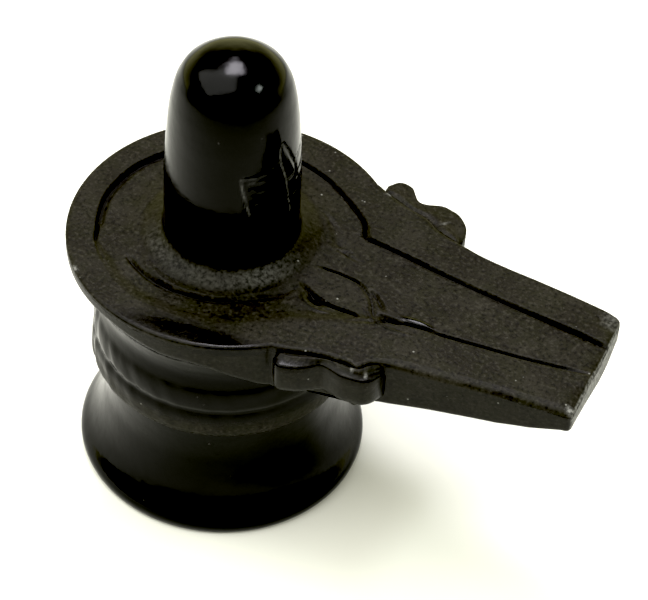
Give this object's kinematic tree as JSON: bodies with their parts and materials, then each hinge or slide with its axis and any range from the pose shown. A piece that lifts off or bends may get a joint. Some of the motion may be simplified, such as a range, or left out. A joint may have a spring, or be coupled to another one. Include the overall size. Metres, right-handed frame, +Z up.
{
  "type": "shiva lingam",
  "caption": "Small black stone shiva lingam for household worship: a domed linga on a spouted yoni slab, over a waisted pedestal with a ring and a flaring round foot.",
  "frame": {"origin": "centre of the foot's flat underside", "axes": "+Z up along the pedestal, +X out along the spout, so that -Y is the side that faces the picture's camera"},
  "size_m": [0.1069, 0.063, 0.1004],
  "materials": {
    "black_stone": "polished on the linga, the waist and the foot, matt and tool-marked in the carved ground and on the slab's sides"
  },
  "bodies": {
    "root": {"shiva_lingam": "black_stone"}
  },
  "joints": []
}
